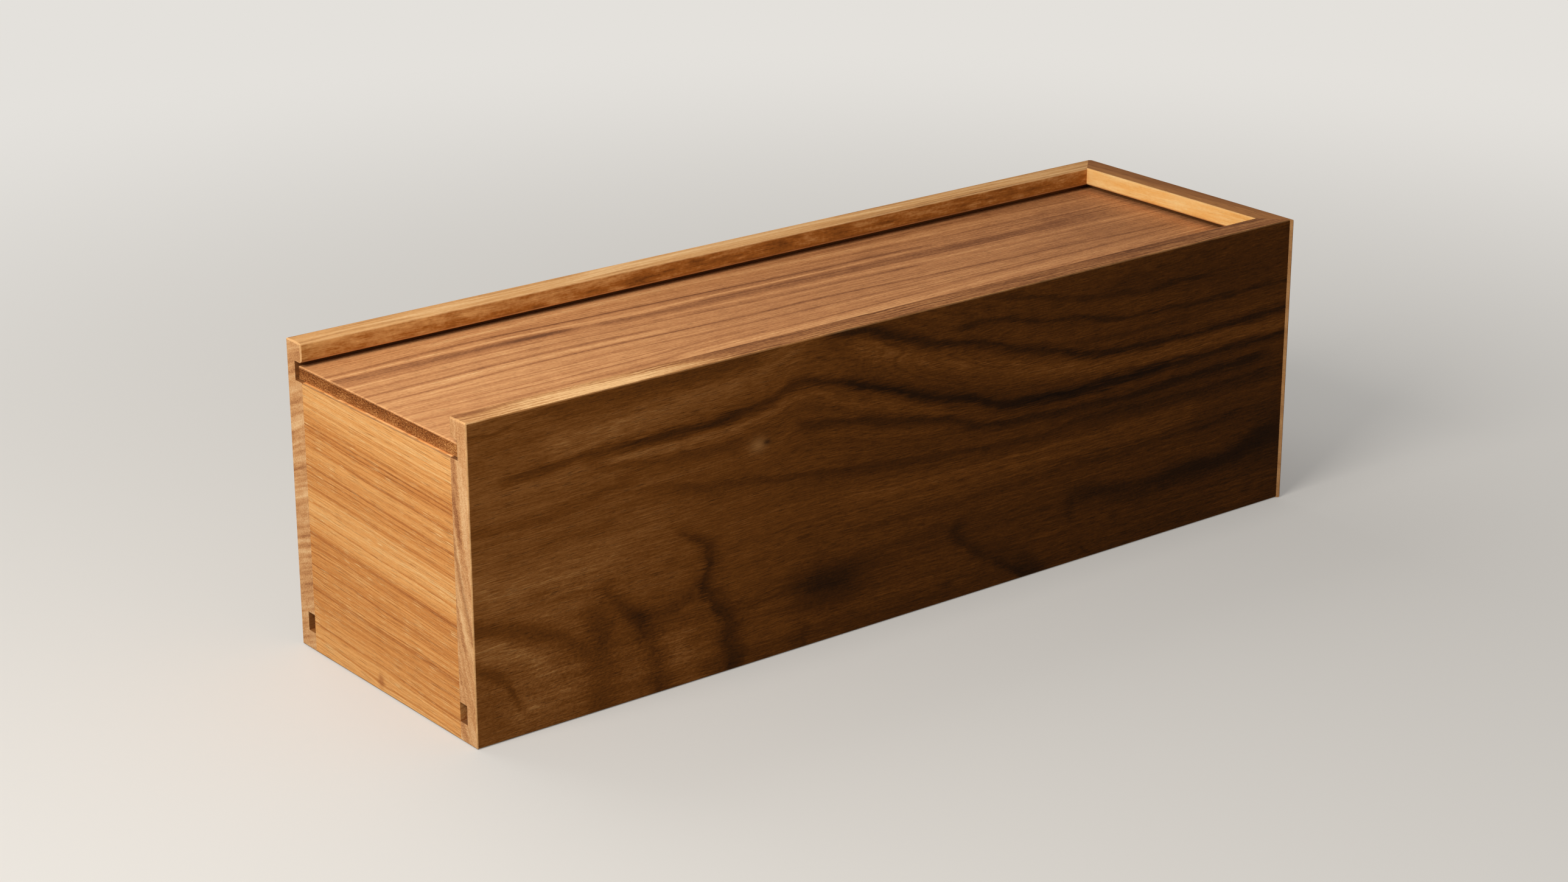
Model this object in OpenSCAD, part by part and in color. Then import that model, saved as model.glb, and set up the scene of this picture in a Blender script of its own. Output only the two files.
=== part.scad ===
// Wooden box with a sliding lid. Two grooved side boards are mitred to a full-height back board, a low front
// board is butted between them, the bottom floats in grooves and the lid runs in grooves on three boards.
// The lid slides out over the front board, towards -X. The origin is the centre of the base.

/* [Box] */
// Length from the front ends of the sides to the back face
box_length = 350; // [220:1:450]
// Width over the outer faces of the two sides
box_width = 105; // [75:1:200]
// Height of the sides and of the back board
box_height = 106; // [70:1:180]

/* [Boards] */
// Thickness of each side board
side_thickness = 9; // [8:0.5:14]
// Thickness of the low front board
front_thickness = 9; // [8:0.5:14]
// Thickness of the back board; what it has over the sides stands proud at the right mitre
back_thickness = 10; // [8:0.5:14]

/* [Grooves] */
// Depth of every groove into its board
groove_depth = 4; // [2.5:0.5:6]
// Height of the groove that the lid runs in
lid_groove_height = 6.5; // [5:0.5:10]
// Height of the lip over the lid groove
lip_height = 6.5; // [4:0.5:12]
// Height of the groove that holds the bottom
bottom_groove_height = 6.5; // [4:0.5:10]
// Height of the wood under the bottom groove
foot_height = 6.5; // [4:0.5:12]

/* [Lid] */
// Gap between the lid and the underside of the lips
lid_headroom = 1.8; // [0.3:0.1:3]
// Gap between each long edge of the lid and the wall of its groove
lid_side_play = 0.3; // [0.2:0.1:1]
// Gap between the closed lid and the wall of the back groove
lid_end_play = 0.5; // [0.3:0.1:2]
// How far the closed lid stands behind the front ends of the sides
lid_setback = 1; // [0:0.5:5]

/* [Bottom] */
// Gap over the bottom panel in its groove
bottom_headroom = 0.3; // [0.1:0.1:1]
// Gap between each edge of the bottom panel and the wall of its groove
bottom_edge_play = 0.5; // [0.2:0.1:1.5]

/* [Edges] */
// Radius sanded on the outer edges of the boards
edge_ease = 0.6; // [0.2:0.1:1.5]
// Radius sanded on the lower edge of the lips, over the lid
lip_ease = 1; // [0.2:0.1:1.5]
// Radius of the left rear corner, sanded flush and round
rear_round = 3; // [1:0.5:6]
// Flat left on the proud feather edge of the back board
tip_flat = 0.2; // [0.1:0.1:0.6]

/* [Hidden] */
$fn = 48;

dark_walnut = [0.36, 0.22, 0.12];
tan_walnut = [0.62, 0.42, 0.27];
golden_walnut = [0.74, 0.50, 0.28];

// How much longer a cut is than the wood that it goes through
overcut = 1;

// Heights of the lid groove, whose floor is also the top of the front board
lid_floor = box_height - lip_height - lid_groove_height;
lid_ceiling = box_height - lip_height;

// Ends of the box, and the inner faces of the two end boards
front_x = -box_length / 2;
back_x = box_length / 2;
front_inner_x = front_x + front_thickness;
back_inner_x = back_x - back_thickness;

// The back board's end stands proud on the right by what it is thicker than the side, less its flat. The box
// is shifted by half of that, so that the origin stays in the middle of the overall width.
tip_proud = back_thickness - side_thickness - tip_flat;
centre_y = max(0, tip_proud) / 2;
left_y = centre_y + box_width / 2;
right_y = centre_y - box_width / 2;
left_inner_y = left_y - side_thickness;
right_inner_y = right_y + side_thickness;

// Where the mitre reaches the outer face of a side
mitre_outer_x = back_inner_x + side_thickness;

lid_thickness = lid_groove_height - lid_headroom;
bottom_thickness = bottom_groove_height - bottom_headroom;

// A flat shape in Y and Z, drawn out along X
module along_x(from, to) {
    translate([from, 0, 0])
        rotate([90, 0, 90])
            linear_extrude(to - from)
                children();
}

// A flat shape in X and Z, drawn out along Y
module along_y(from, to) {
    translate([0, to, 0])
        rotate([90, 0, 0])
            linear_extrude(to - from)
                children();
}

// A flat shape in X and Y, drawn out along Z
module along_z(from, to) {
    translate([0, 0, from])
        linear_extrude(to - from)
            children();
}

// A rectangle from its lowest corner to its highest
module rectangle(low, high) {
    translate(low)
        square(high - low);
}

// Turns a corner drawn with its wood towards [1, 1] so that the wood lies towards another diagonal
module wood_towards(way) {
    mirror([way[0] < 0 ? 1 : 0, 0])
        mirror([0, way[1] < 0 ? 1 : 0])
            children();
}

// What sanding to a radius takes off a square corner, with the wood towards way, such as [1, -1]
module sanded_off(corner, way, radius) {
    translate(corner)
        wood_towards(way)
            difference() {
                translate([-overcut, -overcut])
                    square(radius + overcut);
                translate([radius, radius])
                    circle(radius);
            }
}

// A rectangle with all four corners sanded
module eased_rectangle(low, high, radius) {
    difference() {
        rectangle(low, high);
        sanded_off(low, [1, 1], radius);
        sanded_off([high[0], low[1]], [-1, 1], radius);
        sanded_off(high, [-1, -1], radius);
        sanded_off([low[0], high[1]], [1, -1], radius);
    }
}

// A thin board with every edge sanded
module eased_board(low, high, radius) {
    intersection() {
        along_x(low[0], high[0])
            eased_rectangle([low[1], low[2]], [high[1], high[2]], radius);
        along_y(low[1], high[1])
            eased_rectangle([low[0], low[2]], [high[0], high[2]], radius);
        along_z(low[2], high[2])
            eased_rectangle([low[0], low[1]], [high[0], high[1]], radius);
    }
}

// The section of a board with both grooves: its outer face at 0, its inner face at its thickness
module grooved_section(thickness) {
    difference() {
        rectangle([0, 0], [thickness, box_height]);
        rectangle([thickness - groove_depth, foot_height],
                  [thickness + overcut, foot_height + bottom_groove_height]);
        rectangle([thickness - groove_depth, lid_floor], [thickness + overcut, lid_ceiling]);
        sanded_off([0, 0], [1, 1], edge_ease);
        sanded_off([0, box_height], [1, -1], edge_ease);
        sanded_off([thickness, box_height], [-1, -1], edge_ease);
        sanded_off([thickness, lid_ceiling], [-1, 1], lip_ease);
    }
}

// A side board with its outer face at Y = 0 and its inner face towards +Y
module side_board() {
    difference() {
        intersection() {
            along_x(front_x, max(back_x, mitre_outer_x) + overcut)
                grooved_section(side_thickness);
            along_z(0, box_height)
                polygon([
                    [front_x, 0],
                    [mitre_outer_x, 0],
                    [back_inner_x, side_thickness],
                    [front_x, side_thickness]
                ]);
        }
        side_front_easing();
    }
}

// What sanding takes off the front end of a side board
module side_front_easing() {
    along_z(-overcut, box_height + overcut)
        sanded_off([front_x, 0], [1, 1], edge_ease);
    along_z(lid_ceiling - overcut, box_height + overcut)
        sanded_off([front_x, side_thickness], [1, -1], edge_ease);
    along_y(-overcut, side_thickness + overcut) {
        sanded_off([front_x, box_height], [1, -1], edge_ease);
        sanded_off([front_x, 0], [1, 1], edge_ease);
    }
}

// What sanding takes off the left rear corner, from the side and the back board together
module left_rear_rounding() {
    along_z(-overcut, box_height + overcut)
        sanded_off([back_x, left_y], [-1, -1], rear_round);
}

module left_side() {
    color(tan_walnut)
        difference() {
            translate([0, left_y, 0])
                mirror([0, 1, 0])
                    side_board();
            left_rear_rounding();
        }
}

module right_side() {
    color(dark_walnut)
        translate([0, right_y, 0])
            side_board();
}

// The low board between the sides. Its top is level with the floor of the lid groove.
module front_end() {
    color(golden_walnut)
        along_y(right_inner_y, left_inner_y)
            difference() {
                rectangle([front_x, 0], [front_inner_x, lid_floor]);
                rectangle([front_inner_x - groove_depth, foot_height],
                          [front_inner_x + overcut, foot_height + bottom_groove_height]);
                sanded_off([front_x, 0], [1, 1], edge_ease);
                sanded_off([front_x, lid_floor], [1, -1], edge_ease);
            }
}

// The back board seen from above: mitred from its inner corners, with its right end left proud
module back_plan() {
    polygon([
        [back_inner_x, right_inner_y],
        [back_x - tip_flat, right_y - tip_proud],
        [back_x, right_y - tip_proud],
        [back_x, left_y],
        [mitre_outer_x, left_y],
        [back_inner_x, left_inner_y]
    ]);
}

module back_end() {
    color(golden_walnut)
        difference() {
            intersection() {
                along_y(right_y - side_thickness, left_y + side_thickness)
                    translate([back_x, 0])
                        mirror([1, 0])
                            grooved_section(back_thickness);
                along_z(0, box_height)
                    back_plan();
            }
            left_rear_rounding();
        }
}

// The panel that lies loose in the bottom grooves of all four boards
module bottom_panel() {
    reach = groove_depth - bottom_edge_play;
    color(tan_walnut)
        eased_board([front_inner_x - reach, right_inner_y - reach, foot_height],
                    [back_inner_x + reach, left_inner_y + reach, foot_height + bottom_thickness],
                    edge_ease);
}

// The lid, closed. It lies on the groove floors and on top of the front board.
module lid() {
    side_reach = groove_depth - lid_side_play;
    color(tan_walnut)
        eased_board([front_x + lid_setback, right_inner_y - side_reach, lid_floor],
                    [back_inner_x + groove_depth - lid_end_play, left_inner_y + side_reach,
                     lid_floor + lid_thickness],
                    edge_ease);
}

left_side();
right_side();
front_end();
back_end();
bottom_panel();
lid();
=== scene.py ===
import math
from collections import namedtuple

import bpy
from mathutils import Matrix, Vector


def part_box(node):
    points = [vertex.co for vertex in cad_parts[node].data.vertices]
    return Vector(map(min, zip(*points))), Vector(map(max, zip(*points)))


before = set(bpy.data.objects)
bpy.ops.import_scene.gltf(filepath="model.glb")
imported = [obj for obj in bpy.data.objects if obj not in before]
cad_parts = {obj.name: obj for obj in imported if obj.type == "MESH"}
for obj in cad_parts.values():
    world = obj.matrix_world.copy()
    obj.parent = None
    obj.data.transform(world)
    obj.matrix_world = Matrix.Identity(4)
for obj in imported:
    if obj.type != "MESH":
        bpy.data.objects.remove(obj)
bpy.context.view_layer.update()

# The looks of a walnut box with a sliding lid. Each board's wood is worked out in space, from the board's own
# place, so that the grain of a face runs on over its edges and ends. Materials are measured in millimetres.

MM = 1000.0


def board(node):
    """The lowest and highest corners of a board, in millimetres."""
    low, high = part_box(node)
    return low * MM, high * MM


def srgb(red, green, blue):
    """A colour as it is read off a screen, from 0 to 255 each, in the renderer's own values."""
    def linear(level):
        share = level / 255
        if share <= 0.04045:
            return share / 12.92
        return ((share + 0.055) / 1.055) ** 2.4
    return (linear(red), linear(green), linear(blue), 1.0)


# The corners of the boards
FRONT_LOW, FRONT_HIGH = board("front_end")
LEFT_LOW, LEFT_HIGH = board("left_side")
RIGHT_LOW, _ = board("right_side")
BACK_LOW, BACK_HIGH = board("back_end")
LID_LOW, LID_HIGH = board("lid")
BOTTOM_LOW, _ = board("bottom_panel")

# The box's measures, worked out from them
BOX_TOP = LEFT_HIGH.z
BOX_HEIGHT = LEFT_HIGH.z - LEFT_LOW.z
BOX_LENGTH = BACK_HIGH.x - FRONT_LOW.x
SIDE_THICKNESS = LEFT_HIGH.y - FRONT_HIGH.y
BACK_THICKNESS = BACK_HIGH.x - BACK_LOW.x
LID_LENGTH = LID_HIGH.x - LID_LOW.x
LID_WIDTH = LID_HIGH.y - LID_LOW.y

# The grooves. Their height and depth aren't in the boards' corners. The lid groove's floor is level with the
# top of the front board, and the bottom groove's with the underside of the bottom panel.
GROOVE_HEIGHT = 6.5
GROOVE_DEPTH = 4.0
LID_FLOOR = FRONT_HIGH.z
LID_CEILING = LID_FLOOR + GROOVE_HEIGHT
BOTTOM_FLOOR = BOTTOM_LOW.z
BOTTOM_CEILING = BOTTOM_FLOOR + GROOVE_HEIGHT


# ---------------------------------------------------------------- the bench that materials are made on

class Value:
    """One output of a node. Arithmetic on it adds Math nodes."""

    def __init__(self, bench, socket):
        self.bench = bench
        self.socket = socket

    def math(self, operation, *others):
        sockets = dict(enumerate((self, *others)))
        return self.bench.add("Math", {"operation": operation}, sockets)

    def __add__(self, other):
        return self.math("ADD", other)

    def __sub__(self, other):
        return self.math("SUBTRACT", other)

    def __rsub__(self, other):
        return self.bench.add("Math", {"operation": "SUBTRACT"}, {0: other, 1: self})

    def __mul__(self, other):
        return self.math("MULTIPLY", other)

    def __truediv__(self, other):
        return self.math("DIVIDE", other)

    def __abs__(self):
        return self.math("ABSOLUTE")

    __radd__ = __add__
    __rmul__ = __mul__


class Bench:
    """A material or a sky being made. Every node in it comes from add()."""

    def __init__(self, owner):
        owner.use_nodes = True
        self.owner = owner
        self.nodes = owner.node_tree.nodes
        self.links = owner.node_tree.links
        self.nodes.clear()

    def add(self, kind, settings=None, sockets=None, output=0):
        """Adds a node, its settings before its sockets, and gives one of its outputs. Stops are a ramp's and
        points a curve's. A node that ends a material has no output to give."""
        node = self.nodes.new("ShaderNode" + kind)
        for name, value in (settings or {}).items():
            if name == "stops":
                set_stops(node.color_ramp, value)
            elif name == "points":
                set_points(node.mapping, value)
            else:
                setattr(node, name, value)
        for key, value in (sockets or {}).items():
            if isinstance(value, Value):
                self.links.new(value.socket, node.inputs[key])
            else:
                node.inputs[key].default_value = value
        if node.outputs:
            return Value(self, node.outputs[output])

    def part(self, vector, axis):
        return self.add("SeparateXYZ", {}, {0: vector}, axis)

    def place(self):
        """Where a point of the surface lies in the box, in millimetres. It moves with the board."""
        spot = self.add("TexCoord", output="Object")
        return [self.part(spot, axis) * MM for axis in "XYZ"]

    def facing(self):
        """Which way the surface faces, as the sizes of its X, Y and Z parts."""
        normal = self.add("TexCoord", output="Normal")
        return [abs(self.part(normal, axis)) for axis in "XYZ"]

    def spot(self, along, across, through):
        """A point of the wood, to look up random values at."""
        return self.add("CombineXYZ", {}, {0: along, 1: across, 2: through})

    def cells(self, spot, sizes, detail, seed):
        """Random values, mostly from -1 to 1, in soft cells of the given sizes in millimetres."""
        stretch = tuple(1 / size for size in sizes)
        sockets = {0: spot, 1: stretch, 2: (seed, seed, seed)}
        cell = self.add("VectorMath", {"operation": "MULTIPLY_ADD"}, sockets)
        noise = self.add("TexNoise", {}, {"Vector": cell, "Scale": 1.0, "Detail": detail})
        return noise.math("MULTIPLY_ADD", 4.0, -2.0)

    def rise(self, value, low, high):
        """0 below low and 1 above high, with a smooth rise between them."""
        sockets = {0: value, 1: low, 2: high}
        return self.add("MapRange", {"interpolation_type": "SMOOTHSTEP"}, sockets)

    def between(self, value, low, high, soft):
        """1 between two heights, falling to 0 over a soft edge outside them."""
        return self.rise(value, low - soft, low) * (1 - self.rise(value, high, high + soft))

    def bell(self, offset):
        """1 at an offset of 0, falling to about a third at an offset of 1."""
        return (offset * offset * -1.0).math("EXPONENT")

    def curve(self, value, points, span_in, span_out):
        """A smooth curve through points, over spans that run from 0."""
        unit = [(x / span_in, y / span_out) for x, y in points]
        return self.add("FloatCurve", {"points": unit}, {1: value / span_in}) * span_out

    def shades(self, tone, shades):
        """The colour of a tone: shades are tones from 0 to 1, each with its colour as srgb() takes it."""
        stops = [(place, srgb(*shade)) for place, shade in shades]
        return self.add("ValToRGB", {"stops": stops}, {0: tone})

    def mix(self, share, first, second):
        """A colour between two others. A Mix node's colours are its inputs 6 and 7 and its output 2."""
        settings = {"data_type": "RGBA", "clamp_factor": True}
        return self.add("Mix", settings, {0: share, 6: first, 7: second}, 2)

    def finish(self, colour, roughness, height, relief, sheen):
        """Joins the finish to the wood: relief is how far height 1 stands over height 0, in millimetres."""
        bump = self.add("Bump", {}, {"Strength": 1.0, "Distance": relief / MM, "Height": height})
        shader = self.add("BsdfPrincipled", {}, {
            "Base Color": colour,
            "Roughness": roughness,
            "Normal": bump,
            "Specular IOR Level": sheen,
        })
        return self.close(shader)

    def close(self, shader, end="OutputMaterial"):
        """Ends the material or sky with a shader, and hands it over."""
        self.add(end, {}, {"Surface": shader})
        return self.owner


def set_stops(ramp, stops):
    while len(ramp.elements) > 1:
        ramp.elements.remove(ramp.elements[-1])
    ramp.elements[0].position = stops[0][0]
    ramp.elements[0].color = stops[0][1]
    for position, colour in stops[1:]:
        ramp.elements.new(position).color = colour


def set_points(mapping, points):
    line = mapping.curves[0]
    line.points[0].location = points[0]
    line.points[1].location = points[-1]
    for x, y in points[1:-1]:
        line.points.new(x, y)
    mapping.update()


# ---------------------------------------------------------------- what every board's wood is made of

class Grain:
    """The fibres, streaks, pores and dusty surface of one board. Each place is along the grain, across it and
    through it: drift bends as the figure bends, and run goes straight along the board, as the fibres do."""

    def __init__(self, bench, drift, run, seed):
        self.bands = bench.cells(drift, (300, 9, 26), detail=1.0, seed=seed)
        self.streaks = bench.cells(drift, (170, 2.3, 8), detail=1.5, seed=seed + 11)
        self.threads = bench.cells(drift, (50, 0.7, 2.2), detail=1.5, seed=seed + 23)
        self.fibres = bench.cells(run, (6, 0.3, 0.5), detail=2.5, seed=seed + 37)
        self.mottle = bench.cells(run, (8, 5, 5), detail=3.0, seed=seed + 41)
        self.dust = bench.cells(run, (1.3, 0.8, 0.8), detail=2.0, seed=seed + 61)
        pits = bench.cells(run, (5.5, 0.28, 0.4), detail=1.0, seed=seed + 53)
        self.pores = bench.rise(pits + self.streaks * 0.25, 0.5, 0.95)

    def tone(self, bands=0, streaks=0, threads=0, fibres=0, mottle=0, dust=0):
        """How much paler or darker the grain makes the wood, by the share of each of its parts."""
        drifting = self.bands * bands + self.streaks * streaks + self.threads * threads
        running = self.fibres * fibres + self.mottle * mottle + self.dust * dust
        return drifting + running

    def roughness(self, dull, pores=0.2, fibres=0.03, mottle=0.03):
        """How rough the sanded wood is: rougher in its pores and smoother on its fibres."""
        return dull + self.pores * pores - self.fibres * fibres + self.mottle * mottle

    def height(self, face=0.6, fibres=0.16, threads=0.12, pores=0.4):
        """How high the sanded surface stands, with its pores sunk in its face."""
        return face + self.fibres * fibres + self.threads * threads - self.pores * pores


def eased_edges(bench, facing):
    """1 on the sanded edges, which face between two axes."""
    most = facing[0].math("MAXIMUM", facing[1]).math("MAXIMUM", facing[2])
    return 1 - bench.rise(most, 0.9, 0.995)


def edges_with_wear_and_painted_light(bench, colour, facing, patches, shade):
    """A colour with the sanded edges in another shade, as far as the patches go: partly wear, partly painted
    light, a painted highlight on most boards and a painted shade on the front board.
    """
    return bench.mix(eased_edges(bench, facing) * patches, colour, shade)


def top_edge(bench, facing, z):
    """1 on the top edge of a board."""
    return bench.rise(facing[2], 0.6, 0.9) * bench.rise(z, BOX_TOP - 1, BOX_TOP - 0.5)


def lip_face(bench, inward, z, thickness):
    """1 on the inner face of the lip over the lid: inward is the depth into the board from its outer face."""
    inner = bench.rise(inward, thickness - 0.8, thickness - 0.2)
    return inner * bench.rise(z, LID_CEILING - 0.2, LID_CEILING)


def sawn_ends(bench, facing_along):
    """1 on the sawn ends of a board."""
    return bench.rise(facing_along, 0.72, 0.95)


SAWN_SHADES = (
    (0.0, (112, 66, 38)),
    (0.3, (162, 106, 65)),
    (0.6, (208, 152, 99)),
    (1.0, (240, 198, 146)),
)


def end_grain(bench, rings, across, seed):
    """The colour of a sawn end: growth rings as soft lines, vessels as dots, in a mottled, open surface."""
    spot = bench.spot(rings, across, 0.0)
    broad = bench.cells(spot, (3.2, 40, 1), detail=1.0, seed=seed)
    thin = bench.cells(spot, (1.0, 14, 1), detail=2.0, seed=seed + 2)
    blotches = bench.cells(spot, (3.4, 3.0, 1), detail=2.0, seed=seed + 4)
    vessels = bench.cells(spot, (0.5, 0.5, 1), detail=2.0, seed=seed + 6)
    tone = 0.63 + broad * 0.30 + thin * 0.14 + blotches * 0.08 + vessels * 0.18
    return bench.shades(tone, SAWN_SHADES)


# The painted shade of the groove walls, in the dark side board and in the other boards
DARK_GROOVE_PAINTED_SHADE = srgb(86, 54, 32)
TAN_GROOVE_PAINTED_SHADE = srgb(90, 56, 32)


def grooves_in_painted_shade(bench, colour, inward, height, thickness, shade):
    """A colour with the walls of a board's two grooves darkened, a painted shade for the shade that falls in
    them. Inward is the depth into the board from its outer face."""
    cut = bench.between(inward, thickness - GROOVE_DEPTH - 0.1, thickness - 0.25, 0.1)
    lid_groove = bench.between(height, LID_FLOOR, LID_CEILING, 0.05)
    bottom_groove = bench.between(height, BOTTOM_FLOOR, BOTTOM_CEILING, 0.05)
    # Painted shade in the grooves, stronger in the lid groove than in the bottom groove
    return bench.mix(cut * (lid_groove + bottom_groove * 0.5) * 0.45, colour, shade)


# ---------------------------------------------------------------- figure drawn on a board

# A soft line: its points, its softness before and behind it, and its depth of colour. A pale line's depth is
# below 0, and so is a pale patch's.
Line = namedtuple("Line", "points before behind depth")

# A soft patch: its middle, its half sizes and its depth of colour
Patch = namedtuple("Patch", "along down half_along half_down depth")


def drawn_lines(bench, run, across, lines, run_span, across_span, fade):
    """Adds up soft lines drawn along run. They fade in at their first point and out at their last."""
    total = 0.0
    for line in lines:
        offset = across - bench.curve(run, line.points, run_span, across_span)
        softened = offset.math("MAXIMUM", 0.0) / line.behind + offset.math("MINIMUM", 0.0) / line.before
        start = line.points[0][0]
        end = line.points[-1][0]
        shown = bench.bell(softened)
        if start > 0:
            shown = shown * bench.rise(run, start, start + fade)
        if end < run_span:
            shown = shown * (1 - bench.rise(run, end - fade, end))
        total = shown * line.depth + total
    return total


def soft_patches(along, down, patches):
    """Adds up soft patches, each at its full depth in its middle."""
    total = 0.0
    for patch in patches:
        offset_along = (along - patch.along) / patch.half_along
        offset_down = (down - patch.down) / patch.half_down
        reach = offset_along * offset_along + offset_down * offset_down
        total = (reach * -1.0).math("EXPONENT") * patch.depth + total
    return total


# ---------------------------------------------------------------- right side: dark board, swirling figure

# Where the board's own grain runs, from the front end and down from the top edge
GRAIN_RISE = ((0, 22), (60, 20), (100, 19), (116, 16.5), (126, 13.5), (140, 16), (160, 23), (176, 29),
              (192, 34), (208, 39), (224, 42), (250, 43.5), (300, 42.5), (350, 42))

# How much of that rise the grain follows at each depth below the top edge
GRAIN_FOLLOWS = ((0, 0.45), (10, 0.62), (24, 1.0), (38, 0.9), (46, 0.55), (54, 0.22), (66, 0.05), (106, 0))

# Lines of the figure that run along the board, as points from the front end and down from the top edge
LONG_LINES = (
    Line(((6, 22.8), (30, 20.5), (45, 19.8), (60, 19.6), (80, 20), (100, 19), (110, 18), (116, 16.5),
          (122, 14.2), (128, 13.4), (136, 15.5), (146, 18.5), (156, 22), (166, 25.5), (176, 29.5),
          (190, 33.5), (200, 35.4), (206, 38), (214, 41), (230, 42.5), (250, 43), (300, 42.5), (350, 42)),
         1.5, 2.0, 0.23),
    Line(((138, 15.6), (156, 21.4), (176, 28.4), (190, 32.2), (206, 36.8), (216, 39.8), (232, 42),
          (260, 42.4), (296, 42.2)), 2.8, 1.4, 0.14),
    Line(((50, 19.6), (80, 20), (108, 18.4)), 2.2, 2.6, 0.10),
    Line(((38, 22.6), (60, 26), (75, 28), (90, 29), (108, 28)), 1.2, 2.0, 0.11),
    Line(((118, 26.4), (132, 29.6), (140, 30.4), (150, 32), (160, 34.4), (170, 36.4), (180, 38.4),
          (190, 40.4), (200, 44), (210, 46), (220, 47.5), (232, 48), (250, 49), (270, 49.5), (290, 49),
          (345, 48)), 1.3, 2.3, 0.18),
    Line(((58, 35.4), (80, 38), (90, 41), (105, 42), (120, 44), (135, 46), (150, 48), (165, 50),
          (180, 51.4), (204, 53.4), (230, 55), (250, 53.6), (300, 55), (350, 54)), 0.8, 2.8, 0.12),
    Line(((132, -1), (148, 1), (158, 3.6), (166, 6.6), (176, 9.4), (186, 10.8)), 2.1, 1.9, 0.27),
    Line(((172, 11.6), (190, 13.6), (200, 16), (210, 18.6), (216, 21.4), (225, 23.6), (236, 26), (246, 29),
          (256, 31), (270, 32), (284, 32.6), (320, 33.4), (350, 32.4)), 1.3, 1.5, 0.22),
    Line(((186, 8.6), (204, 9.6), (214, 10.6), (224, 12.4), (236, 15), (250, 17), (262, 19.6), (272, 20.6),
          (290, 21.6), (350, 22)), 1.0, 1.1, 0.17),
    Line(((206, 1), (230, 6), (244, 9), (256, 10.6), (270, 12), (290, 12.6), (316, 13.6)), 0.8, 1.0, 0.15),
    Line(((226, 21), (250, 25.6), (284, 27.4), (310, 28.6)), 0.7, 0.9, 0.08),
    Line(((0, 34.6), (20, 36.4), (40, 34.4), (64, 30)), 1.8, 2.4, 0.11),
    Line(((4, 46), (30, 45), (58, 44)), 1.4, 2.4, 0.08),
    Line(((0, 4.6), (10, 5.4), (22, 3), (40, 1)), 0.6, 0.8, 0.12),
    Line(((2, 12.4), (16, 10.6), (34, 9.4)), 0.5, 0.8, 0.09),
    Line(((26, 3.4), (60, 2), (116, 3)), 3.0, 3.8, 0.11),
    Line(((232, 70), (238, 68.4), (244, 67), (250, 69), (262, 70), (280, 69.2), (310, 69.5), (332, 65)),
         0.9, 1.3, 0.09),
    Line(((238, 86), (243, 83), (248, 80.8), (256, 81), (262, 83), (272, 85), (284, 86), (292, 84.4),
          (304, 84), (320, 84), (334, 80), (350, 76)), 3.4, 4.8, 0.12),
    Line(((0, 79), (6, 82), (11, 86.4), (14, 91), (16, 96), (19, 100), (24, 106)), 2.8, 2.6, 0.17),
    Line(((0, 66.5), (8, 68.5), (18, 71), (26, 74), (34, 78.5), (46, 85)), 3.2, 4.4, 0.19),
    Line(((52, 76), (64, 78.6), (72, 79), (82, 76.5), (92, 74)), 4.4, 3.6, 0.15),
    Line(((24, 14.4), (60, 12.4), (90, 10), (110, 7), (126, 2), (138, 0)), 4.0, 4.4, -0.12),
    Line(((142, 5), (160, 10.6), (180, 18), (200, 23), (215, 27), (235, 32), (262, 36.8), (290, 37.6),
          (350, 37.4)), 3.0, 3.6, -0.14),
    Line(((48, 23), (90, 24), (112, 22), (126, 19), (146, 25), (170, 32), (198, 39.4)), 1.2, 1.6, -0.09),
    Line(((0, 53), (16, 56), (34, 55.6), (64, 50)), 4.0, 5.0, -0.10),
    Line(((140, 58), (180, 61), (230, 64), (310, 63)), 5.0, 6.0, -0.07),
    Line(((0, 72.6), (12, 76), (22, 81.4), (29, 88), (33, 97), (34, 106)), 2.4, 4.0, -0.15),
)

# Lines that run down the board, as points down from the top edge and along from the front end
CROSS_LINES = (
    Line(((49, 72), (54, 79), (57, 83.5), (60, 87), (64, 88.6), (68, 88.4), (72, 87.6), (76, 88.4),
          (80, 91), (84, 93.6), (90, 96), (98, 97), (106, 97.4)), 3.2, 5.4, 0.17),
    Line(((49, 72), (54, 79), (57, 83.5), (60, 87), (64, 88.6), (68, 88), (72, 86.8), (76, 87.4), (80, 90),
          (84, 92.6), (90, 95)), 1.2, 1.8, 0.08),
    Line(((60, 45), (70, 52.5), (75, 57), (79, 60), (86, 64), (94, 67), (106, 69.4)), 3.4, 5.0, 0.17),
    Line(((66, 43), (76, 46), (84, 46.6), (94, 46), (106, 46)), 6.0, 7.4, 0.16),
    Line(((73, 206), (77.5, 195), (80.5, 191.6), (83.5, 193), (88, 198), (92, 204), (97, 212), (102, 220),
          (106, 226)), 3.0, 4.6, 0.15),
    Line(((87, 209), (92, 214), (97, 221.6), (106, 232)), 6.0, 5.0, 0.10),
    Line(((93, 127), (98, 126.4), (106, 127)), 1.6, 2.0, 0.11),
    Line(((95, 244), (102, 251), (106, 256)), 1.5, 1.8, 0.07),
    Line(((82, 79), (92, 77), (106, 81)), 7.0, 6.0, -0.09),
)

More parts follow.
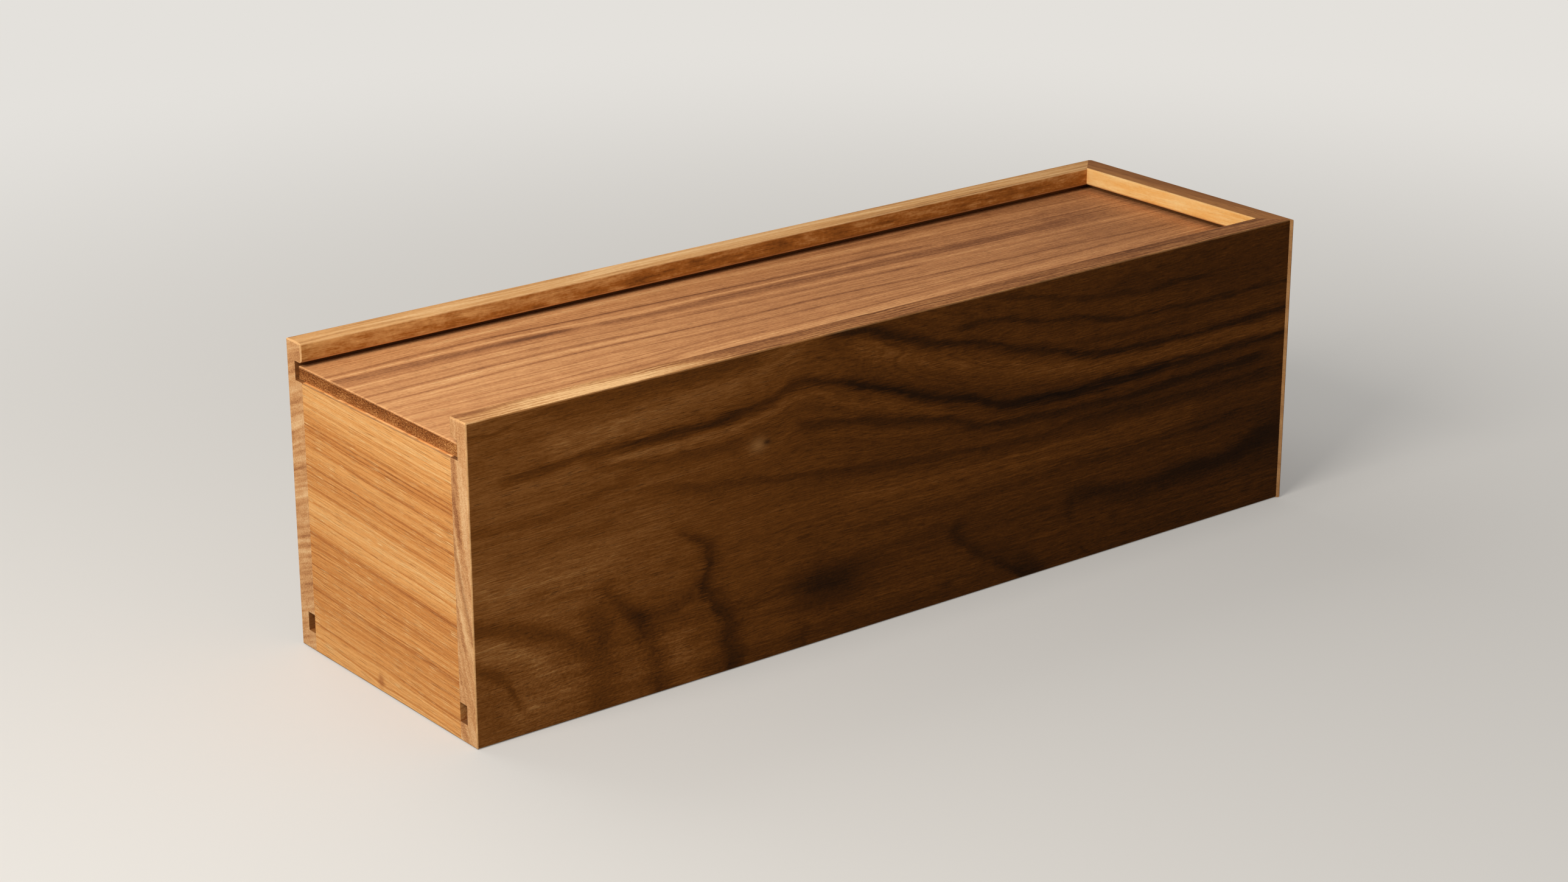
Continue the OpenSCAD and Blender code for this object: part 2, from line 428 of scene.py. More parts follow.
# Soft dark and pale places of the figure
PATCHES = (
    Patch(130, 85.4, 10.0, 7.0, 0.15),
    Patch(143, 87.0, 13.0, 7.4, 0.21),
    Patch(97, 100, 6.6, 11.0, 0.08),
    Patch(62, 79, 4.6, 3.4, 0.09),
    Patch(46, 79, 5.0, 4.0, 0.09),
    Patch(24, 61.4, 6.4, 1.9, 0.13),
    Patch(128, 68, 3.6, 2.0, 0.08),
    Patch(245, 87, 2.4, 4.0, 0.08),
    Patch(340, 81, 19.0, 10.0, 0.09),
    Patch(306, 85.4, 18.0, 3.0, 0.06),
    Patch(5, 94, 9.0, 9.0, 0.09),
    Patch(20, 99, 3.4, 3.4, -0.12),
    Patch(330, 99, 18.0, 5.0, -0.09),
    Patch(322, 13, 40.0, 6.0, 0.06),
    Patch(140, 50, 26.0, 5.0, 0.05),
    Patch(300, 52, 56.0, 6.0, 0.05),
    Patch(68, 48, 9.0, 9.0, -0.05),
    Patch(8, 88, 50.0, 60.0, -0.03),
)

# Where short ripples cross the grain, and how strongly
CURLY_PLACES = (
    Patch(24, 92, 34, 20, 1.0),
    Patch(80, 92, 34, 18, 0.7),
    Patch(40, 62, 34, 14, 0.5),
)

# Where the small knot is, from the front end and down from the top edge
PIN_KNOT = (110.5, 31.4)

# Two growth rings that stand out on the front end of this board, counted like its other rings
END_DARK_RING = 21.4
END_PALE_RING = 24.4

# The right side is painted darker than the other boards: partly its own dark walnut, partly painted shade of
# a side turned from the light
FIGURED_SHADES = (
    (0.0, (28, 16, 8)),
    (0.2, (58, 32, 10)),
    (0.4, (96, 53, 14)),
    (0.6, (132, 77, 25)),
    (0.8, (164, 105, 50)),
    (1.0, (196, 140, 80)),
)

FIGURED_EDGE_SHADES = (
    (0.0, (62, 34, 17)),
    (0.3, (114, 68, 36)),
    (0.5, (160, 104, 60)),
    (0.7, (198, 143, 88)),
    (0.95, (242, 196, 138)),
)

FIGURED_INNER_SHADES = (
    (0.0, (88, 52, 28)),
    (0.5, (146, 96, 55)),
    (1.0, (196, 144, 92)),
)


def pin_knot(bench, colour, knot_along, knot_down):
    """A colour with a small pale swelling in it, and the swelling's dark heart behind it."""
    swelling = bench.bell((knot_along + 1.4) / 3.0) * bench.bell(knot_down / 2.2)
    heart = bench.bell((knot_along - 2.2) / 1.5) * bench.bell((knot_down + 0.2) / 0.7)
    colour = bench.mix(swelling * 0.65, colour, srgb(186, 132, 76))
    return bench.mix(heart * 0.75, colour, srgb(44, 24, 12))


def figured_top_edge(bench, along, inward, waver, grain):
    """The top edge: a streak of sapwood at the front, brown towards the lid and at the back."""
    strayed = inward + waver * 0.8
    spot = bench.spot(along, strayed + along * 0.012, 0.0)
    streaks = bench.cells(spot, (52, 0.8, 1), detail=2.0, seed=65)
    threads = bench.cells(spot, (20, 0.3, 1), detail=1.0, seed=67)
    tone = 0.68 + bench.rise(along, 4, 34) * 0.24 - bench.rise(along, 54, 112) * 0.44
    tone = tone - bench.rise(strayed, 3.8, 7.4) * (0.2 - bench.rise(along, 60, 140) * 0.14)
    tone = tone - bench.rise(along, 110, 350) * 0.04
    tone = tone + streaks * 0.20 + threads * 0.10 + grain.tone(fibres=0.08, dust=0.08)
    colour = bench.shades(tone, FIGURED_EDGE_SHADES)
    return bench.mix(grain.pores * 0.35, colour, srgb(96, 58, 30))


def figured_sawn_end(bench, inward, down, tremble):
    """The front end, with a dark growth ring and a pale one that stand out."""
    rings = inward * 0.95 + down * 0.30 + (down - 60) * (down - 60) * 0.002 + tremble * 0.5
    colour = end_grain(bench, rings, down, seed=71.0)
    colour = bench.mix(bench.bell((rings - END_DARK_RING) / 0.9) * 0.36, colour, srgb(120, 72, 40))
    return bench.mix(bench.bell((rings - END_PALE_RING) / 1.6) * 0.24, colour, srgb(240, 198, 142))


def figured_side_wood():
    bench = Bench(bpy.data.materials.new("figured walnut"))
    x, y, z = bench.place()
    facing = bench.facing()
    along = x - RIGHT_LOW.x
    down = BOX_TOP - z
    inward = y - RIGHT_LOW.y
    spot = bench.spot(along, down, inward)

    # The drawn figure wavers a little, and its edges are feathered along the fibres
    waver = bench.cells(spot, (22, 6, 30), detail=2.0, seed=3)
    tremble = bench.cells(spot, (9, 1.6, 20), detail=2.0, seed=5)
    feather = bench.cells(spot, (12, 0.55, 3), detail=2.0, seed=9)
    strayed = down + waver * 0.9 + tremble * 0.4
    wavering = strayed + feather * 1.1
    leaning = along + bench.cells(spot, (6, 7, 30), detail=3.0, seed=7) * 1.8 + feather * 2.6

    # The grain follows the arch of the figure, and parts round the pin knot
    follows = bench.curve(down, GRAIN_FOLLOWS, BOX_HEIGHT, 1.0)
    rise = bench.curve(along, GRAIN_RISE, BOX_LENGTH, BOX_HEIGHT)
    knot_along = along - PIN_KNOT[0]
    knot_down = down - PIN_KNOT[1]
    knot_pull = bench.bell(knot_along / 14.0) * bench.bell(knot_down / 5.0)
    bent = strayed - rise * follows - knot_down * knot_pull * 0.45
    fibre_line = down + along * 0.02 - rise * 0.12
    grain = Grain(bench, bench.spot(along, bent, inward), bench.spot(along, fibre_line, inward), seed=2.0)

    figure = drawn_lines(bench, along, wavering, LONG_LINES, BOX_LENGTH, BOX_HEIGHT, fade=12.0)
    figure = figure + drawn_lines(bench, down, leaning, CROSS_LINES, BOX_HEIGHT, BOX_LENGTH, fade=8.0)
    figure = figure + soft_patches(leaning, wavering, PATCHES)
    figure = figure * (1 + grain.tone(streaks=0.3, threads=0.3, fibres=0.35))
    ripple = bench.cells(bench.spot(along + down * 0.3, down, inward), (1.3, 0.8, 4), detail=2.0, seed=61)
    curl = ripple * soft_patches(along, down, CURLY_PLACES)

    # Darker towards the back: partly the board's own darker heartwood, partly painted shade falling off away
    # from the front. Darker towards the bottom beyond the front end: painted shade.
    tone = 0.69 - bench.rise(along, 10, 200) * 0.22 - bench.rise(along, 170, 360) * 0.07
    tone = tone - bench.rise(down, 30, 106) * bench.rise(along, 20, 110) * 0.09 - figure + curl * 0.10
    tone = tone + grain.tone(bands=0.05, streaks=0.05, threads=0.06, fibres=0.11, mottle=0.03, dust=0.05)
    colour = pin_knot(bench, bench.shades(tone, FIGURED_SHADES), knot_along, knot_down)
    colour = bench.mix(grain.pores * 0.45, colour, srgb(26, 14, 6))

    on_top = top_edge(bench, facing, z)
    colour = bench.mix(on_top, colour, figured_top_edge(bench, along, inward, waver, grain))
    inner = bench.rise(inward, SIDE_THICKNESS - GROOVE_DEPTH - 0.4, SIDE_THICKNESS - GROOVE_DEPTH)
    inner_tone = 0.5 + grain.tone(bands=0.14, streaks=0.12, threads=0.08, fibres=0.04)
    colour = bench.mix(inner * (1 - on_top), colour, bench.shades(inner_tone, FIGURED_INNER_SHADES))
    sawn = sawn_ends(bench, facing[0])
    colour = bench.mix(sawn, colour, figured_sawn_end(bench, inward, down, tremble))
    colour = grooves_in_painted_shade(bench, colour, inward, z, SIDE_THICKNESS, DARK_GROOVE_PAINTED_SHADE)

    # The upright edge at the front is painted pale, partly wear and partly a painted highlight; the long top
    # edge hardly
    long_edge = bench.rise(along, 2, 12) * bench.rise(facing[2], 0.2, 0.5)
    patches = (0.7 + grain.mottle * 0.3) * (1 - long_edge * 0.8)
    colour = edges_with_wear_and_painted_light(bench, colour, facing, patches, srgb(232, 182, 124))

    roughness = grain.roughness(0.6) + sawn * 0.1
    height = grain.height(threads=0.1) + curl * 0.25
    return bench.finish(colour, roughness, height, relief=0.13, sheen=0.1)


# ---------------------------------------------------------------- left side: tan board, straight grain

STRAIGHT_SHADES = (
    (0.0, (98, 56, 24)),
    (0.35, (150, 94, 46)),
    (0.7, (190, 130, 72)),
    (1.0, (218, 164, 102)),
)

STRAIGHT_LIP_SHADES = (
    (0.0, (94, 50, 16)),
    (0.5, (176, 109, 44)),
    (1.0, (232, 176, 108)),
)

STRAIGHT_EDGE_SHADES = (
    (0.0, (138, 86, 44)),
    (0.5, (212, 157, 97)),
    (1.0, (244, 202, 146)),
)


def straight_lip(bench, along, down, spot, grain):
    """The face of the lip over the lid: warm and mottled, and darker towards its lower edge. It is painted
    darker towards the back, a painted shade, and paler again near the back end.
    """
    blotches = bench.cells(spot, (11, 2.6, 6), detail=3.0, seed=14)
    tone = 0.74 - bench.rise(along, 60, 180) * 0.22 - bench.rise(down, 1.5, 6.5) * 0.14
    tone = tone + bench.rise(along, 270, 345) * 0.10 + blotches * 0.30
    tone = tone + grain.tone(streaks=0.12, fibres=0.15, dust=0.10)
    return bench.shades(tone, STRAIGHT_LIP_SHADES)


def straight_top_edge(bench, along, grain):
    """The top edge: pale and streaked, and a little darker towards the back."""
    tone = 0.49 + bench.rise(along, 40, 160) * 0.03 - bench.rise(along, 180, 350) * 0.14
    tone = tone + grain.tone(bands=0.16, streaks=0.30, threads=0.24, fibres=0.10, dust=0.08)
    return bench.shades(tone, STRAIGHT_EDGE_SHADES)


def side_wood():
    bench = Bench(bpy.data.materials.new("straight-grained walnut"))
    x, y, z = bench.place()
    facing = bench.facing()
    along = x - LEFT_LOW.x
    inward = LEFT_HIGH.y - y
    down = BOX_TOP - z
    spot = bench.spot(along, down, inward)

    waver = bench.cells(spot, (120, 30, 60), detail=1.0, seed=4)
    wood = bench.spot(along, z * 0.93 + y * 0.37 + waver * 2.4, inward)
    grain = Grain(bench, wood, wood, seed=9.0)
    tone = 0.5 + grain.tone(bands=0.12, streaks=0.11, threads=0.09, fibres=0.09, mottle=0.04, dust=0.04)
    colour = bench.mix(grain.pores * 0.4, bench.shades(tone, STRAIGHT_SHADES), srgb(88, 50, 24))

    on_lip = lip_face(bench, inward, z, SIDE_THICKNESS)
    colour = bench.mix(on_lip, colour, straight_lip(bench, along, down, spot, grain))
    colour = bench.mix(top_edge(bench, facing, z), colour, straight_top_edge(bench, along, grain))
    end_rings = down * 0.92 + inward * 0.38 + waver * 1.5
    sawn = sawn_ends(bench, facing[0])
    colour = bench.mix(sawn, colour, end_grain(bench, end_rings, inward, seed=83.0))
    colour = grooves_in_painted_shade(bench, colour, inward, z, SIDE_THICKNESS, TAN_GROOVE_PAINTED_SHADE)
    colour = edges_with_wear_and_painted_light(bench, colour, facing, 0.55 + grain.mottle * 0.25, srgb(236, 190, 134))

    roughness = grain.roughness(0.6, mottle=0.04) + sawn * 0.1
    return bench.finish(colour, roughness, grain.height(threads=0.1), relief=0.12, sheen=0.12)


# ---------------------------------------------------------------- front board: golden, with pale pores

# Tone of the front board at each depth below the top of the box, on its left edge
FRONT_TONES = ((0, 0.64), (13, 0.76), (20, 0.72), (24, 0.56), (30, 0.57), (36, 0.63), (44, 0.58),
               (50, 0.74), (55, 0.78), (60, 0.66), (66, 0.52), (72, 0.55), (80, 0.59), (86, 0.55),
               (92, 0.66), (106, 0.72))

# A thin dark line across the front board: its place on the left edge, its softness and its depth of colour
AcrossLine = namedtuple("AcrossLine", "down soft depth")

FRONT_LINES = (
    AcrossLine(27.5, 0.5, 0.20),
    AcrossLine(33.0, 0.4, 0.15),
    AcrossLine(40.0, 0.6, 0.22),
    AcrossLine(43.6, 0.3, 0.15),
    AcrossLine(47.7, 0.5, 0.20),
    AcrossLine(52.6, 0.3, 0.12),
    AcrossLine(57.2, 0.4, 0.20),
    AcrossLine(63.6, 0.7, 0.22),
    AcrossLine(68.0, 0.4, 0.12),
    AcrossLine(74.0, 0.4, 0.12),
    AcrossLine(82.6, 0.9, 0.20),
    AcrossLine(88.6, 0.5, 0.18),
    AcrossLine(95.0, 0.5, 0.15),
)

# How far the grain falls for each millimetre towards the right, and where the knot is
FRONT_SLOPE = 0.048
FRONT_KNOT = (49.5, 102.3)

# The front board is painted paler than the other boards: partly its own golden wood, partly painted light of
# an end facing the light
GOLDEN_SHADES = (
    (0.0, (112, 58, 24)),
    (0.3, (172, 102, 48)),
    (0.55, (210, 139, 72)),
    (0.8, (234, 170, 100)),
    (1.0, (246, 198, 134)),
)


def front_knot(bench, colour, knot_along, knot_down):
    """A colour with a small dark knot in it, which is paler at its heart."""
    ring = bench.bell(knot_along / 1.5) * bench.bell(knot_down / 2.2)
    heart = bench.bell(knot_along / 0.6) * bench.bell(knot_down / 1.0)
    colour = bench.mix(ring * 0.75, colour, srgb(158, 84, 38))
    return bench.mix(heart * 0.6, colour, srgb(206, 140, 82))


def front_wood():
    bench = Bench(bpy.data.materials.new("golden walnut"))
    x, y, z = bench.place()
    facing = bench.facing()
    along = LEFT_HIGH.y - y
    down = BOX_TOP - z
    through = x - FRONT_LOW.x

    # The grain falls towards the right, and parts round the knot
    fallen = down - along * FRONT_SLOPE
    knot_along = along - FRONT_KNOT[0]
    knot_down = down - FRONT_KNOT[1]
    knot_pull = bench.bell(knot_along / 9.0) * bench.bell(knot_down / 4.5)
    waver = bench.cells(bench.spot(along, down, through), (60, 12, 60), detail=1.5, seed=6)
    bent = fallen + waver * 0.6 - knot_down * knot_pull * 0.5 + through * 0.25
    wood = bench.spot(along, bent, through)
    run = bench.spot(along, fallen, through)
    grain = Grain(bench, wood, run, seed=15.0)

    tone = bench.curve(bent, FRONT_TONES, BOX_HEIGHT, 1.0)
    for line in FRONT_LINES:
        tone = tone - bench.bell((bent - line.down) / line.soft) * line.depth
    fine = bench.cells(wood, (110, 0.42, 5), detail=1.0, seed=29)
    growth = bench.rise(bench.cells(wood, (260, 0.85, 12), detail=0.0, seed=30), 0.2, 0.75)
    tone = tone + fine * 0.12 - growth * 0.16 + 0.045
    tone = tone + grain.tone(bands=0.03, streaks=0.05, threads=0.06, fibres=0.05, dust=0.05)
    colour = bench.shades(tone, GOLDEN_SHADES)

    # Its pores are dashes along the grain, most of them pale
    gather = bench.cells(wood, (26, 5, 9), detail=2.0, seed=33)
    pale_dashes = bench.rise(bench.cells(run, (7, 0.19, 0.8), detail=0.5, seed=31) + gather * 0.3, 0.55, 0.85)
    dark_dashes = bench.rise(bench.cells(run, (11, 0.22, 0.8), detail=0.5, seed=35), 0.55, 0.9)
    colour = bench.mix(pale_dashes * 0.7, colour, srgb(250, 206, 142))
    colour = bench.mix(dark_dashes * 0.45, colour, srgb(132, 74, 32))
    colour = front_knot(bench, colour, knot_along, knot_down)
    # Its eased edges are painted darker, a painted shade that holds back the highlight where light catches
    # them
    colour = edges_with_wear_and_painted_light(bench, colour, facing, 0.85 + grain.mottle * 0.15, srgb(150, 106, 66))

    roughness = grain.roughness(0.55, pores=0) + pale_dashes * 0.12
    height = grain.height(pores=0) - (pale_dashes + dark_dashes) * 0.4
    return bench.finish(colour, roughness, height, relief=0.12, sheen=0.16)


# ---------------------------------------------------------------- back board

BACK_SHADES = (
    (0.0, (92, 52, 22)),
    (0.35, (142, 90, 47)),
    (0.7, (182, 124, 70)),
    (1.0, (208, 156, 98)),
)

# The lip of the back board: partly pale sapwood, partly painted light
BACK_LIP_SHADES_WITH_PAINTED_LIGHT = (
    (0.0, (190, 120, 54)),
    (0.5, (246, 188, 108)),
    (1.0, (255, 220, 154)),
)


def back_wood():
    bench = Bench(bpy.data.materials.new("back board walnut"))
    x, y, z = bench.place()
    facing = bench.facing()
    along = LEFT_HIGH.y - y
    down = BOX_TOP - z
    inward = BACK_HIGH.x - x
    spot = bench.spot(along, down, inward)

    waver = bench.cells(spot, (50, 16, 60), detail=2.0, seed=8)
    bent = down + along * 0.03 + waver * 1.1 + inward * 0.5
    grain = Grain(bench, bench.spot(along, bent, inward), spot, seed=21.0)
    tone = 0.5 + grain.tone(bands=0.12, streaks=0.11, threads=0.09, fibres=0.09)
    colour = bench.mix(grain.pores * 0.45, bench.shades(tone, BACK_SHADES), srgb(84, 50, 26))

    # The lip over the lid is very pale: partly pale sapwood, partly painted light where light from the front
    # strikes it
    blotches = bench.cells(spot, (16, 4, 6), detail=2.0, seed=18)
    lip_tone_with_painted_light = tone + 0.1 + blotches * 0.2 + grain.tone(dust=0.08)
    on_lip = lip_face(bench, inward, z, BACK_THICKNESS)
    colour = bench.mix(on_lip, colour, bench.shades(lip_tone_with_painted_light, BACK_LIP_SHADES_WITH_PAINTED_LIGHT))
    colour = grooves_in_painted_shade(bench, colour, inward, z, BACK_THICKNESS, TAN_GROOVE_PAINTED_SHADE)
    colour = edges_with_wear_and_painted_light(bench, colour, facing, 0.45 + grain.mottle * 0.25, srgb(222, 172, 116))
    return bench.finish(colour, grain.roughness(0.6), grain.height(), relief=0.12, sheen=0.12)


# ---------------------------------------------------------------- bottom panel

BOTTOM_SHADES = (
    (0.0, (108, 66, 36)),
    (0.35, (154, 100, 57)),
    (0.7, (188, 132, 80)),
    (1.0, (214, 164, 110)),
)


def bottom_wood():
    bench = Bench(bpy.data.materials.new("plain panel walnut"))
    x, y, z = bench.place()
    facing = bench.facing()
    along = x - BOTTOM_LOW.x
    across = y - BOTTOM_LOW.y
    through = z - BOTTOM_LOW.z
    spot = bench.spot(along, across, through)

    waver = bench.cells(spot, (130, 26, 60), detail=2.0, seed=10)
    bent = across + waver * 3.0 + through * 0.6
    grain = Grain(bench, bench.spot(along, bent, through), spot, seed=27.0)
    tone = 0.52 + grain.tone(bands=0.12, streaks=0.11, threads=0.08, fibres=0.09)
    colour = bench.mix(grain.pores * 0.45, bench.shades(tone, BOTTOM_SHADES), srgb(92, 56, 30))
    colour = edges_with_wear_and_painted_light(bench, colour, facing, 0.4 + grain.mottle * 0.25, srgb(212, 164, 110))

    roughness = grain.roughness(0.58, fibres=0)
    height = grain.height(fibres=0.12, pores=0.5)
    return bench.finish(colour, roughness, height, relief=0.12, sheen=0.12)


# ---------------------------------------------------------------- lid

# How far the far half of the lid's grain has swung towards the near side, along its length
LID_ARCH = ((0, 1), (30, 0.4), (60, 0), (100, 1.8), (140, 4), (200, 6.6), (240, 8), (300, 9.6), (342, 11))

# A height that the arch stays under
LID_ARCH_SPAN = 20.0

# Lines of the lid, as points from its front edge and from the face of the left side board
LID_LINES = (
    Line(((0, 12), (20, 11.2), (40, 10.2), (60, 10), (80, 11), (100, 12), (116, 12.6), (140, 14.2),
          (160, 15), (180, 16), (200, 16.6), (220, 17.2), (250, 18.4)), 0.7, 2.0, 0.22),
    Line(((0, 17.4), (50, 17.4), (70, 17.6), (98, 20.4)), 1.4, 4.0, 0.27),
    Line(((90, 20), (130, 22.4), (150, 22.4), (175, 23), (200, 24), (240, 25), (310, 26.4)),
         2.0, 4.2, 0.20),
    Line(((0, 24), (50, 23.4), (80, 24), (108, 26)), 0.5, 0.6, 0.15),
    Line(((0, 30.4), (60, 29), (110, 30), (130, 31.4), (160, 32), (190, 33.4), (232, 35.6)),
         0.9, 1.7, 0.14),
    Line(((0, 36), (20, 35.4), (40, 35), (60, 34.6), (80, 35), (118, 37.2)), 0.5, 0.9, 0.17),
    Line(((0, 43.4), (30, 42.6), (50, 41.4), (75, 41), (100, 41.6), (120, 43), (150, 44), (175, 44),
          (200, 45), (240, 48), (280, 50), (300, 51), (342, 54)), 0.55, 0.9, 0.22),
    Line(((0, 50.4), (30, 50), (60, 49), (80, 48), (100, 49), (120, 50.4), (150, 51), (180, 51.6),
          (220, 52.8)), 0.6, 0.9, 0.14),
    Line(((0, 54.6), (40, 54.4), (80, 53)), 0.4, 0.6, 0.09),
    Line(((0, 58), (20, 58.4), (50, 59), (90, 58.6), (110, 56.6), (142, 55.8)), 0.5, 0.8, 0.14),
    Line(((0, 65), (20, 65.6), (60, 65.6), (90, 65), (105, 62.6), (130, 61.6), (160, 61.6), (200, 60.6),
          (240, 58.6), (290, 57.6), (342, 56)), 1.2, 0.5, 0.15),
    Line(((0, 72), (30, 72.6), (90, 74)), 0.6, 1.0, 0.12),
    Line(((34, 6.4), (60, 4.6), (90, 3), (115, 2), (150, 2.4), (175, 4), (200, 5), (240, 7), (280, 8),
          (342, 9.6)), 1.8, 1.8, -0.16),
    Line(((0, 14.6), (60, 14), (90, 16), (110, 18), (140, 19), (170, 19.6), (200, 20.2), (240, 21)),
         0.9, 0.9, -0.15),
    Line(((0, 26), (100, 25.2), (115, 26.6), (140, 28.2), (170, 29.6), (200, 31), (240, 33), (280, 34),
          (342, 36)), 1.0, 1.0, -0.13),
    Line(((4, 39), (60, 38), (118, 39.8)), 1.8, 1.8, -0.10),
    Line(((0, 46.6), (80, 44.6), (130, 46.6)), 0.8, 0.8, -0.08),
    Line(((92, 66), (130, 65), (200, 64.4), (342, 62)), 2.8, 3.6, -0.13),
)

LID_PATCHES = (
    Patch(76, 19, 14.0, 2.0, 0.16),
    Patch(221, 16, 8.0, 2.2, 0.12),
    Patch(220, 34.6, 7.0, 1.5, 0.08),
    Patch(310, 24, 15.0, 7.0, 0.14),
    Patch(262, 26, 18.0, 3.0, 0.08),
    Patch(306, 41, 14.0, 6.0, 0.07),
    Patch(336, 40, 7.0, 60.0, -0.06),
)

LID_SHADES = (
    (0.0, (82, 46, 26)),
    (0.3, (140, 88, 52)),
    (0.55, (190, 129, 80)),
    (0.8, (222, 162, 106)),
    (1.0, (240, 192, 134)),
)

LID_END_SHADES = (
    (0.0, (58, 28, 9)),
    (0.5, (146, 84, 36)),
    (1.0, (216, 154, 90)),
)


def lid_wood():
    bench = Bench(bpy.data.materials.new("striped lid walnut"))
    x, y, z = bench.place()
    facing = bench.facing()
    along = x - LID_LOW.x
    across = LEFT_HIGH.y - SIDE_THICKNESS - y
    through = LID_HIGH.z - z
    spot = bench.spot(along, across, through)

    # The grain of the far half swings towards the middle, and that of the near half away from the near side
    feather = bench.cells(spot, (16, 0.6, 3), detail=2.0, seed=14)
    waver = bench.cells(spot, (60, 9, 40), detail=2.0, seed=12)
    strayed = across + waver * 0.5
    wavering = strayed + feather * 0.45
    follows = 1 - bench.rise(across, 30, 66) * 1.7
    arch = bench.curve(along, LID_ARCH, LID_LENGTH, LID_ARCH_SPAN)
    wood = bench.spot(along, strayed - arch * follows + through * 0.4, through)
    grain = Grain(bench, wood, wood, seed=33.0)
    fine = bench.cells(wood, (150, 0.9, 6), detail=1.5, seed=45)

    # The drawn lines fade towards the back, a painted sheen that pales the figure there
    figure = drawn_lines(bench, along, wavering, LID_LINES, LID_LENGTH, LID_WIDTH, fade=14.0)
    figure = figure * (1 + grain.tone(threads=0.4, fibres=0.3))
    figure = figure * (1.15 - bench.rise(along, 110, 330) * 0.45)
    tone = 0.67 - figure - soft_patches(along, wavering, LID_PATCHES)
    # Painted darker towards the back, a painted shade falling off away from the front
    tone = tone - bench.rise(along, 30, 200) * 0.13 - bench.rise(along, 180, 340) * 0.08
    tone = tone + bench.rise(across, 30, 70) * (1 - bench.rise(along, 0, 160)) * 0.05 + fine * 0.10
    tone = tone + grain.tone(bands=0.05, streaks=0.07, threads=0.10, fibres=0.09, mottle=0.05, dust=0.09)
    colour = bench.mix(grain.pores * 0.35, bench.shades(tone, LID_SHADES), srgb(100, 60, 32))

    # Tiny painted glints, highlights strewn askew to the grain
    askew = bench.spot(along + across * 0.37, across - along * 0.29, through)
    painted_glints = bench.rise(bench.cells(askew, (0.5, 0.4, 2), detail=1.0, seed=43), 1.0, 1.25)
    colour = bench.mix(painted_glints * 0.6, colour, srgb(250, 222, 180))

    # The sawn ends are rough and dark; painted shade darkens them towards the top, and a painted pool of
    # light makes them paler beside the right side board
    end_spot = bench.spot(across, through, along)
    rough = bench.cells(end_spot, (0.8, 0.5, 3), detail=2.0, seed=47)
    smudge = bench.cells(end_spot, (7, 2.5, 30), detail=2.0, seed=49)
    end_tone = 0.36 + rough * 0.34 + smudge * 0.14 + bench.rise(across, 76, 90) * 0.2 + through * 0.06
    sawn = sawn_ends(bench, facing[0])
    colour = bench.mix(sawn, colour, bench.shades(end_tone, LID_END_SHADES))
    colour = edges_with_wear_and_painted_light(bench, colour, facing, 0.3 + grain.mottle * 0.25, srgb(220, 168, 114))

    roughness = grain.roughness(0.58) - painted_glints * 0.15 + sawn * 0.2
    height = grain.height() + sawn * rough * 0.8
    return bench.finish(colour, roughness, height, relief=0.12, sheen=0.12)


# ---------------------------------------------------------------- floor, light and camera, in metres

# The floor and the sky look paler to the camera than the light that they give to the box
FLOOR_SHOWN = srgb(214, 212, 208)
FLOOR_BOUNCE = srgb(128, 126, 122)
BACKDROP = srgb(228, 225, 220)
SKY_LIGHT = (0.27, 0.265, 0.26, 1.0)

FLOOR_REACH = 6.0
FLOOR_GAP = 0.0001

# The floor that the camera sees runs into the backdrop away from the box: from this least share of it at the
# start to all of it at the full distance
BACKDROP_LEAST = 0.25
BACKDROP_START = 0.16
BACKDROP_FULL = 0.8


def floor():
    """A wide pale floor, just under the box."""
    mesh = bpy.data.meshes.new("floor")
    turns = ((-1, -1), (1, -1), (1, 1), (-1, 1))
    corners = [(x * FLOOR_REACH, y * FLOOR_REACH, -FLOOR_GAP) for x, y in turns]
    mesh.from_pydata(corners, [], [(0, 1, 2, 3)])
    piece = bpy.data.objects.new("floor", mesh)
    bpy.context.scene.collection.objects.link(piece)

    bench = Bench(bpy.data.materials.new("pale floor"))
    seen = bench.add("LightPath", output="Is Camera Ray")
    colour = bench.mix(seen, FLOOR_BOUNCE, FLOOR_SHOWN)
    lit = bench.add("BsdfPrincipled", {}, {"Base Color": colour, "Roughness": 1.0, "Specular IOR Level": 0.0})
    backdrop = bench.add("Emission", {}, {"Color": BACKDROP})
    place = bench.add("TexCoord", output="Object")
    distance = bench.add("VectorMath", {"operation": "LENGTH"}, {0: place}, "Value")
    away = bench.rise(distance, BACKDROP_START, BACKDROP_FULL)
    share = seen * (BACKDROP_LEAST + away * (1 - BACKDROP_LEAST))
    mesh.materials.append(bench.close(bench.add("MixShader", {}, {0: share, 1: lit, 2: backdrop})))


def sky():
    """A soft, even light all round, where the camera sees the backdrop."""
    bench = Bench(bpy.data.worlds.new("studio"))
    seen = bench.add("LightPath", output="Is Camera Ray")
    light = bench.add("Background", {}, {"Color": bench.mix(seen, SKY_LIGHT, BACKDROP)})
    bpy.context.scene.world = bench.close(light, "OutputWorld")


# A lamp: where it hangs, what it points at, its width, its power in watts and its colour
Lamp = namedtuple("Lamp", "name place target width power colour")

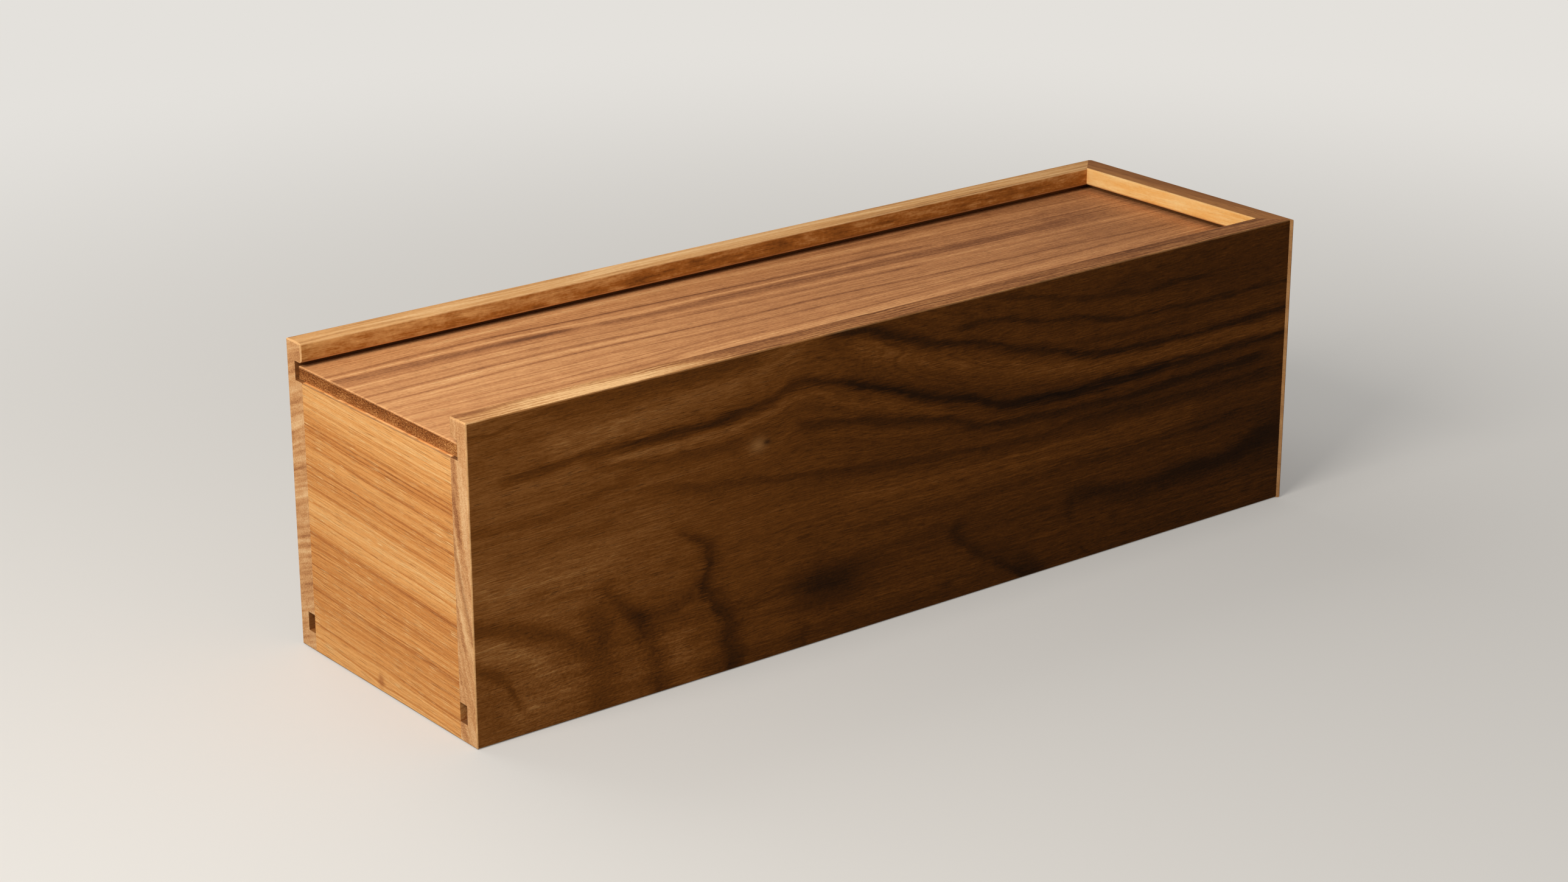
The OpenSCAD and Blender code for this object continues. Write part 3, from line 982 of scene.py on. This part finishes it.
LAMPS = (
    Lamp("key", (-0.76, -0.20, 0.66), (-0.05, 0, 0.05), 0.5, 8.3, (1.0, 0.95, 0.89)),
    Lamp("fill", (-0.20, 0.90, 0.95), (0, 0, 0.05), 0.9, 3.6, (1.0, 0.98, 0.95)),
)


def hang(lamp):
    light = bpy.data.lights.new(lamp.name, "AREA")
    light.shape = "SQUARE"
    light.size = lamp.width
    light.energy = lamp.power
    light.color = lamp.colour
    piece = bpy.data.objects.new(lamp.name, light)
    piece.location = lamp.place
    towards = Vector(lamp.target) - Vector(lamp.place)
    piece.rotation_euler = towards.to_track_quat("-Z", "Y").to_euler()
    bpy.context.scene.collection.objects.link(piece)


# The camera of the photograph, worked out from where the box's corners lie in it. Angles are in degrees, and
# the lens and the sensor in millimetres.
CAMERA_PLACE = (-0.66382, -0.82899, 0.43088)
CAMERA_HEADING = -38.06
CAMERA_DIP = 19.90
CAMERA_ROLL = -0.155
CAMERA_LENS = 75.41
CAMERA_SENSOR = 36.0
CAMERA_NEAR = 0.01
CAMERA_FAR = 30.0


def camera():
    data = bpy.data.cameras.new("camera")
    data.sensor_width = CAMERA_SENSOR
    data.lens = CAMERA_LENS
    data.clip_start = CAMERA_NEAR
    data.clip_end = CAMERA_FAR
    piece = bpy.data.objects.new("camera", data)
    heading = Matrix.Rotation(math.radians(CAMERA_HEADING), 4, "Z")
    dip = Matrix.Rotation(math.radians(90 - CAMERA_DIP), 4, "X")
    roll = Matrix.Rotation(math.radians(CAMERA_ROLL), 4, "Z")
    piece.matrix_world = Matrix.Translation(CAMERA_PLACE) @ heading @ dip @ roll
    bpy.context.scene.collection.objects.link(piece)
    bpy.context.scene.camera = piece


WOODS = {
    "left_side": side_wood,
    "right_side": figured_side_wood,
    "front_end": front_wood,
    "back_end": back_wood,
    "bottom_panel": bottom_wood,
    "lid": lid_wood,
}

for node, wood in WOODS.items():
    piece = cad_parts[node]
    piece.data.materials.clear()
    piece.data.materials.append(wood())

floor()
sky()
for lamp in LAMPS:
    hang(lamp)
camera()
bpy.context.scene.view_settings.view_transform = "Standard"
